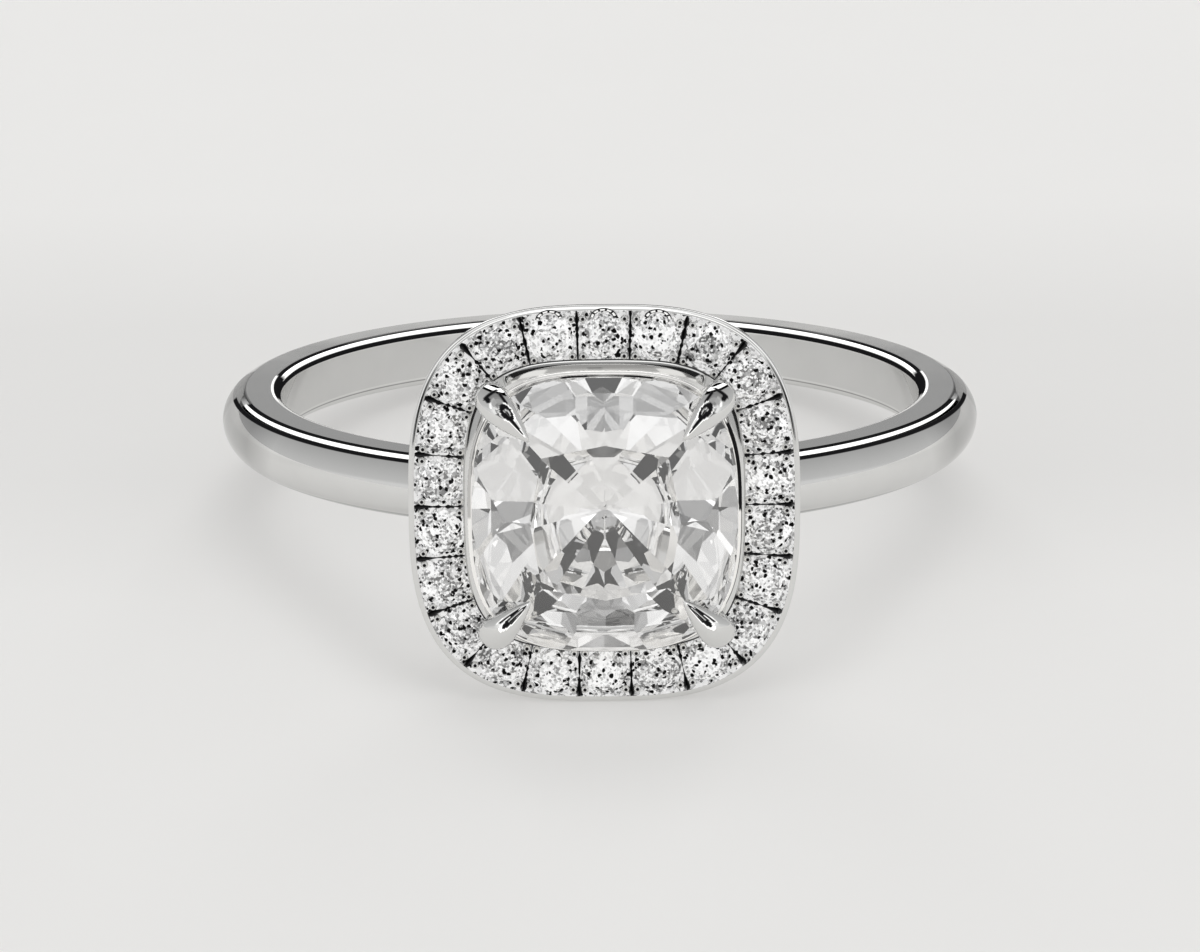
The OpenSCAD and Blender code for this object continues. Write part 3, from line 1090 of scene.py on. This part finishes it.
def centre_planes():
    """Planes of the cushion: stepped sides, split corners and two rounds of sixteen."""
    high = GIRDLE_HALF + CROWN["height"]
    planes = [((0, 0, 1), high)]

    def point(q_deg, angle_deg, r=0.0, z=-CULET_DEPTH):
        """Facet of the pavilion through its point, or through another given one."""
        planes.append(facet(q_deg, angle_deg, r, z, -1))

    def rim(q_deg, angle_deg, z, sign, share=1.0):
        """Facet square to the outline at q_deg, through a share of the way out to it."""
        q, a = radians(q_deg), radians(angle_deg)
        g = cushion(STONE_A, STONE_B, q, STONE_POWER)
        n2 = cushion_normal(STONE_A, STONE_B, q, STONE_POWER)
        n = Vector((sin(a) * n2.x, sin(a) * n2.y, sign * cos(a)))
        planes.append((tuple(n), n.dot(Vector((g.x * share, g.y * share, z)))))

    def drop(slope, share, reach_out):
        return -GIRDLE_HALF - (1 - share) * reach_out * tan(radians(slope))

    for i in range(96):
        rim(360 * i / 96, 90, 0, 1)
    for i in range(8):
        q = 45 * i + 22.5
        rim(45 * i, CROWN["main"], GIRDLE_HALF, 1)
        rim(q, CROWN["star"], high - STAR_DROP, 1, CROWN["table"] + STAR_OUT)
        rim(q, CROWN["bezel"], GIRDLE_HALF + CROWN["height"] / 2, 1, CROWN["bezel_at"])
        point(q, POINT_SLOPE)
    for i in range(16):
        q = 22.5 * i + 11.25
        outer, inner = LOWER_SIDE if i % 4 in (0, 3) else LOWER_CORNER
        rim(q, CROWN["half"], GIRDLE_HALF, 1)
        rim(q, outer, -GIRDLE_HALF, -1)
        rim(q, inner - LOWER_LESS, drop(inner, LOWER_AT, LOWER_REACH), -1, LOWER_AT)
    for side in range(4):
        z, last_r, last_slope = -CULET_DEPTH, 0.0, 0.0
        for r, slope in (ALONG_STEPS if side % 2 else ACROSS_STEPS):
            z += (r - last_r) * tan(radians(last_slope))
            point(90 * side, slope, r, z)
            last_r, last_slope = r, slope
    inner, outer, share = CORNER
    for corner in (45, 135, 225, 315):
        rim(corner, inner, drop(outer, share, CORNER_REACH), -1, share)
        rim(corner, outer, -GIRDLE_HALF, -1)
        point(corner, CORNER_POINT_SLOPE)
        for away, near_along, near_across in BESIDE:
            for sign in (-1, 1):
                slope = near_along if (sign > 0) == (corner in (45, 225)) else near_across
                rim(corner + sign * away, slope, -GIRDLE_HALF, -1)
    return planes


band_piece = band()
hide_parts("ring_mount")
collet()
halo()
beads()
lips()
for number, (sx, sy) in enumerate(((-1, 1), (1, 1), (1, -1), (-1, -1)), 1):
    claw(number, sx, sy)

gem = facet_solid("centre_gem", centre_planes(), centre_clear,
                  Matrix.Translation((0, 0, GIRDLE_Z)))
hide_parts("centre_stone")
for k in range(SMALL_N):
    q = line_angle(k * PITCH)
    at = offset_point(q, 0)
    n = cushion_normal(HALO_A, HALO_B, q)
    place = Matrix.Translation((at.x, at.y, SMALL_GIRDLE_Z)) @ Matrix.Rotation(
        atan2(n.y, n.x), 4, "Z")
    stone = facet_solid(f"halo_gem_{k + 1:02d}", small_planes(), halo_painted_glints, place,
                        k + 1)
    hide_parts(f"halo_stone_{k + 1:02d}")


# Floor, light and camera

# Painted shade in soft bands across the floor: where they start and end in metres towards the
# back, and brightness
FLOOR_REACH = (-0.03, 0.05)
FLOOR_SHADE = ((-0.03, 1.0), (-0.004, 1.0), (0.003, 0.945), (0.013, 0.945), (0.022, 1.025),
               (0.05, 1.045))
# Half the floor's width in metres, its two greys, its glow, and mottles to a metre
FLOOR_HALF = 3.0
PAPER = ((0.46, 0.457, 0.448, 1), (0.48, 0.477, 0.468, 1))
PAPER_GLOW = (1, 0.99, 0.975, 1)
PAPER_GLOW_STRENGTH = 0.385
MOTTLES = 120


def floor():
    mesh = bpy.data.meshes.new("floor")
    corners = ((-1, -1), (1, -1), (1, 1), (-1, 1))
    mesh.from_pydata([(x * FLOOR_HALF, y * FLOOR_HALF, 0) for x, y in corners], [],
                     [(0, 1, 2, 3)])
    material, tree, shader, place = new_material("pale_floor")
    paper = blend(tree, noise(tree, place, MOTTLES, 3)["Fac"], *PAPER)
    depth = node(tree, "SeparateXYZ", {0: place}).outputs["Y"]
    shade = ramp_node(tree, depth, *FLOOR_REACH, FLOOR_SHADE)
    feed(tree, shader, {
        "Base Color": blend(tree, 1.0, shade, paper, blend_type="MULTIPLY"),
        "Emission Color": blend(tree, 1.0, shade, PAPER_GLOW, blend_type="MULTIPLY"),
        "Emission Strength": PAPER_GLOW_STRENGTH,
        "Roughness": 0.6,
    })
    mesh.materials.append(material)
    obj = add_object("floor", mesh)


floor()


# How steeply the camera looks down, the way to it and the way up from there
RISE = radians(24.7)
BACK = (0, -cos(RISE), sin(RISE))
ABOVE = (0, sin(RISE), cos(RISE))
# Degrees from the ring's axis, against brightness: beside the head, then where its lines end,
# then at the ring's two ends
TENT = ((0, 0.36), (14, 0.36), (17, 0.0), (26, 0.0), (27, 2.0), (36.5, 2.0), (37.5, 0.0),
        (43, 0.0), (44, 0.45), (58, 0.52), (77, 0.62), (79, 0.66), (81, 0.76), (90, 0.80))
CAP_TENT = ((0, 0.36), (14, 0.36), (17, 0.0), (44, 0.0), (45, 0.37), (77, 0.37), (79, 0.33),
            (81, 0.72), (90, 0.70))
END_TENT = ((0, 0.36), (45, 0.36), (47, 0.28), (49, 0.60), (62, 0.64), (75, 0.56), (90, 0.52))
# Degrees round the axis from the head between which one gives way to the next
CAP_FROM = (79, 83)
TENT_END_FROM = (86, 88)
# Panels round the place the ring is looked at from: degrees away from it, then brightness by
# equal sectors from straight above to straight below, the same on both sides. The levels were
# solved outside this script, together with the centre stone's cut
FRONT_LIGHT = (
    (0, (1.35, 1.35, 1.35, 1.35, 1.35, 1.35)),
    (7, (0.24, 0.26, 0.28, 0.33, 0.95, 0.36)),
    (14, (0.39, 0.96, 0.02, 0.02, 0.70, 0.02)),
    (22, (0.70, 0.54, 0.92, 0.45, 0.02, 0.49)),
    (32, (0.77, 0.86, 0.91, 1.03, 0.31, 0.62)),
    (45, (0.57, 0.97, 1.50, 0.88, 0.62, 0.62)),
)
# Half the softness of the panels' edges in degrees, and where the tent takes over from them
PANEL_EDGE = 0.5
FRONT_TO = (50, 56)
WALLS = (0.74, 0.74, 0.73, 1)


def studio():
    """A soft light overhead, dark flags beside it and pale grey walls.

    Its edges follow the ring's rim: brightness hangs on the slope of the surface that would
    mirror a direction to the place the ring is looked at from.
    """
    world = bpy.data.worlds.new("studio")
    bpy.context.scene.world = world
    world.use_nodes = True
    tree = world.node_tree
    tree.nodes.clear()
    ray = node(tree, "TexCoord").outputs["Generated"]
    half = vector(tree, "NORMALIZE", vector(tree, "ADD", ray, BACK)[0])[0]

    def along(a, axis):
        return vector(tree, "DOT_PRODUCT", a, tuple(axis))["Value"]

    def in_degrees(value):
        return calc(tree, "MULTIPLY", value, 180 / pi)

    def away_from(a, axis):
        return in_degrees(calc(tree, "ARCCOSINE", along(a, axis)))

    def round_from(a, axis):
        """Degrees from the axis to either side, as seen along the line square to it and to +X."""
        side = calc(tree, "ABSOLUTE", along(a, (1, 0, 0)))
        return in_degrees(calc(tree, "ARCTAN2", side, along(a, axis)))

    slope, turn = away_from(half, ALONG), round_from(half, OUT)
    beside, cap, end = (ramp_node(tree, slope, 0, 90, t) for t in (TENT, CAP_TENT, END_TENT))
    level = blend(tree, between(tree, turn, *CAP_FROM), beside, cap)
    level = blend(tree, between(tree, turn, *TENT_END_FROM), level, end)
    off, sector = away_from(ray, BACK), round_from(ray, ABOVE)
    front = None
    for start, levels in FRONT_LIGHT:
        edge = 180 / len(levels)
        ring = ramp_node(tree, sector, 0, 180, [(edge * i, v) for i, v in enumerate(levels)],
                         "CONSTANT")
        reached = between(tree, off, start - PANEL_EDGE, start + PANEL_EDGE)
        front = blend(tree, reached, front, ring) if front else ring
    level = blend(tree, between(tree, off, *FRONT_TO), front, level)
    tent = node(tree, "Background", {"Color": level, "Strength": 1.0})
    plain = node(tree, "Background", {"Color": WALLS, "Strength": 1.0})
    seen = node(tree, "LightPath").outputs["Is Camera Ray"]
    both = node(tree, "MixShader", {0: seen, 1: tent.outputs[0], 2: plain.outputs[0]})
    node(tree, "OutputWorld", {0: both.outputs[0]})


studio()


def overhead_light():
    data = bpy.data.lights.new("overhead", "AREA")
    data.shape = "SQUARE"
    data.size = 0.35
    data.energy = 0.7
    obj = add_object("overhead", data)
    obj.location = (0.05, -0.1, 0.6)
    obj.rotation_euler = (-obj.location).to_track_quat("-Z", "Y").to_euler()
    obj.visible_camera = obj.visible_glossy = obj.visible_transmission = False


overhead_light()

# The camera's distance from the finger's axis in metres, its lens in millimetres, and in degrees
# how far it stands to the side, looks down past the axis and rolls
CAMERA_DISTANCE = 0.11056
CAMERA_TURN = -0.6
CAMERA_DIP = 0.8755
CAMERA_ROLL = 0.18
CAMERA_LENS = 127.75
camera_data = bpy.data.cameras.new("camera")
camera = add_object("camera", camera_data)
bpy.context.scene.camera = camera
camera_data.sensor_width = 36
camera_data.lens = CAMERA_LENS
camera_data.clip_start = 0.001
camera_data.clip_end = 20
turn = radians(CAMERA_TURN)
back = Vector((sin(turn) * cos(RISE), -cos(turn) * cos(RISE), sin(RISE)))
forward = -back
right = forward.cross(Vector((0, 0, 1))).normalized()
above = right.cross(forward)
dip, roll = radians(CAMERA_DIP), radians(CAMERA_ROLL)
forward, above = forward * cos(dip) - above * sin(dip), above * cos(dip) + forward * sin(dip)
right, above = right * cos(roll) - above * sin(roll), above * cos(roll) + right * sin(roll)
turned = Matrix((right, above, -forward)).transposed().to_4x4()
camera.matrix_world = Matrix.Translation(FINGER_AT + back * CAMERA_DISTANCE) @ turned

scene = bpy.context.scene
scene.view_settings.view_transform = "Standard"
scene.cycles.max_bounces = 24
scene.cycles.transmission_bounces = 24
scene.cycles.glossy_bounces = 8
